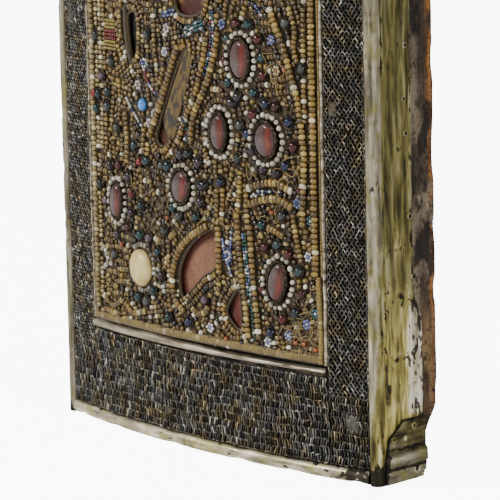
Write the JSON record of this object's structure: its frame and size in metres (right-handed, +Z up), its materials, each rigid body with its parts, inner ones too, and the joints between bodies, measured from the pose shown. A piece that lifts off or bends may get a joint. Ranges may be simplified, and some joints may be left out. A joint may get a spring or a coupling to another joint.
{
  "type": "icon panel",
  "caption": "Bowed wooden icon panel with metal edges, openwork border plates and a beaded, stone-set cloth cover; stands upright on its underside.",
  "frame": {"origin": "centre of the bounding box at the underside, where it stands", "axes": "+X to the right seen from the front, +Z up, the picture faces -Y"},
  "size_m": [0.2706, 0.0622, 0.34],
  "materials": {
    "wood": "aged, bare, grey-brown with dark patches",
    "paint": "old tempera on gesso, dull satin",
    "filigree": "blackened silver wire over dark recesses, traces of gilding",
    "gilt": "worn gilt silver sheet, streaked and pitted",
    "silver": "rubbed bright silver strip",
    "cloth": "ochre cloth with metal thread",
    "garnet": "polished red stone",
    "collet": "dark corroded setting",
    "pearl": "soft pearl lustre",
    "cream_stone": "smooth polished cream stone",
    "turquoise_stone": "smooth blue cabochon",
    "bead": "ochre and olive glass beads, glossy"
  },
  "bodies": {
    "root": {"board": "wood", "painted_ground": "paint", "filigree_top": "filigree", "filigree_bottom": "filigree", "filigree_left": "filigree", "filigree_right": "filigree", "edge_top": "gilt", "edge_bottom": "gilt", "edge_left": "gilt", "edge_right": "gilt", "corner_patch": "gilt", "fillet_top": "silver", "fillet_bottom": "silver", "fillet_left": "silver", "fillet_right": "silver", "bead_cloth": "cloth", "cloth_band_bottom": "cloth", "cloth_band_top": "cloth", "garnet_1": "garnet", "collet_1": "collet", "pearls_1": "pearl", "garnet_2": "garnet", "collet_2": "collet", "pearls_2": "pearl", "garnet_3": "garnet", "collet_3": "collet", "pearls_3": "pearl", "garnet_4": "garnet", "collet_4": "collet", "pearls_4": "pearl", "garnet_5": "garnet", "collet_5": "collet", "pearls_5": "pearl", "garnet_6": "garnet", "collet_6": "collet", "pearls_6": "pearl", "garnet_7": "garnet", "collet_7": "collet", "pearls_7": "pearl", "garnet_8": "garnet", "collet_8": "collet", "pearls_8": "pearl", "cream_stone": "cream_stone", "turquoise_stone": "turquoise_stone", "beads_edge_left": "bead", "beads_edge_right": "bead", "beads_mantle": "bead", "beads_fold_left": "bead", "beads_fold_right": "bead", "beads_sleeve": "bead", "beads_stole_left": "bead", "beads_stole_right": "bead", "beads_belt_upper": "bead", "beads_belt_lower": "bead", "beads_hem_left": "bead", "beads_hem_right": "bead", "beads_halo": "bead"}
  },
  "joints": []
}
